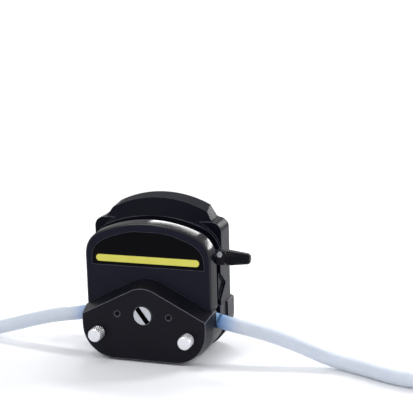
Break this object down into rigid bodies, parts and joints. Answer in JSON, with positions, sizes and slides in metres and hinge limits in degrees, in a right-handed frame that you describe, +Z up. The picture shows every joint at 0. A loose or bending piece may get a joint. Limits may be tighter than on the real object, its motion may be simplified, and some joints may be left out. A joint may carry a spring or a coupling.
{
  "type": "peristaltic pump head",
  "caption": "Peristaltic pump head: a lever lifts the arched upper casing off the roller rotor, and screwed jaws clamp a silicone tube on both sides.",
  "frame": {"origin": "the shaft axis in the rear mounting face", "axes": "+Y along the shaft towards the drive, +X to the right as seen from the front, +Z up"},
  "size_m": [0.6158, 0.097, 0.1219],
  "materials": {
    "black_housing": "satin black moulding",
    "black_cover": "satin black moulding with a glossy rim",
    "black_metal": "black satin paint",
    "black_insert": "dark moulded insert",
    "black_grip": "satin black grip",
    "label_black": "smooth bare black plate",
    "label_yellow": "plain yellow strip",
    "steel": "brushed stainless steel",
    "chrome": "polished",
    "alloy": "plain machined",
    "bronze": "sintered bearing bronze",
    "silicone": "translucent silicone"
  },
  "bodies": {
    "housing": {"pump_body": "black_housing", "rear_bracket": "black_metal", "bracket_screws": "steel", "bearing_plate": "steel", "face_screws": "steel", "front_bearing": "steel", "rear_bearing": "steel", "guide_posts": "steel", "crossbar": "alloy", "crossbar_caps": "steel", "follower_pin": "steel", "tube_middle": "silicone", "left_tube": "silicone", "right_tube": "silicone"},
    "left_jaw": {"left_lower_jaw": "black_insert"},
    "right_jaw": {"right_lower_jaw": "black_insert"},
    "left_clamp_knob": {"left_knob": "chrome"},
    "right_clamp_knob": {"right_knob": "chrome"},
    "rotor": {"rotor_shaft": "steel", "front_disc": "steel", "rear_disc": "steel", "roller_pins": "steel", "rotor_spacer": "alloy"},
    "top_roller": {"roller_1": "steel"},
    "right_roller": {"roller_2": "steel"},
    "left_roller": {"roller_3": "steel"},
    "casing": {"front_cover": "black_cover", "label_plate": "label_black", "label_strip": "label_yellow", "occlusion_bed": "black_insert", "left_upper_jaw": "black_insert", "right_upper_jaw": "black_insert", "rear_casing": "black_cover", "post_bushes": "bronze", "cover_screws": "steel", "slot_spacers": "steel", "front_axle_bush": "bronze", "rear_axle_bush": "bronze"},
    "lever": {"lever_shaft": "steel", "cam_disc": "alloy", "lever_arm": "black_metal", "lever_grip": "black_grip", "arm_screw": "steel"}
  },
  "joints": [
    {"name": "rotor_spin", "type": "hinge", "parent": "housing", "child": "rotor", "pos_m": [0, 0, 0], "axis": [0, 1, 0], "continuous": true},
    {"name": "top_roller_spin", "type": "hinge", "parent": "rotor", "child": "top_roller", "pos_m": [0, 0, 0.0149], "axis": [0, 1, 0], "continuous": true},
    {"name": "right_roller_spin", "type": "hinge", "parent": "rotor", "child": "right_roller", "pos_m": [0.0129, 0, -0.00745], "axis": [0, 1, 0], "continuous": true},
    {"name": "left_roller_spin", "type": "hinge", "parent": "rotor", "child": "left_roller", "pos_m": [-0.0129, 0, -0.00745], "axis": [0, 1, 0], "continuous": true},
    {"name": "casing_lift", "type": "slide", "parent": "housing", "child": "casing", "axis": [0, 0, 1], "range_m": [0, 0.013]},
    {"name": "lever_turn", "type": "hinge", "parent": "casing", "child": "lever", "pos_m": [0, -0.03275, 0.0413], "axis": [0, -1, 0], "range_deg": [0, 180]},
    {"name": "left_jaw_slide", "type": "slide", "parent": "housing", "child": "left_jaw", "axis": [0, 0, 1], "range_m": [-0.003, 0]},
    {"name": "right_jaw_slide", "type": "slide", "parent": "housing", "child": "right_jaw", "axis": [0, 0, 1], "range_m": [-0.003, 0]},
    {"name": "left_knob_turn", "type": "hinge", "parent": "left_jaw", "child": "left_clamp_knob", "pos_m": [-0.0361, -0.0632, -0.0156], "axis": [0, -1, 0], "range_deg": [0, 360]},
    {"name": "right_knob_turn", "type": "hinge", "parent": "right_jaw", "child": "right_clamp_knob", "pos_m": [0.0361, -0.0632, -0.0156], "axis": [0, -1, 0], "range_deg": [0, 360]}
  ],
  "couplings": [
    {"joint": "lever_turn", "follows": "casing_lift", "rad_per_m": 241.66}
  ]
}
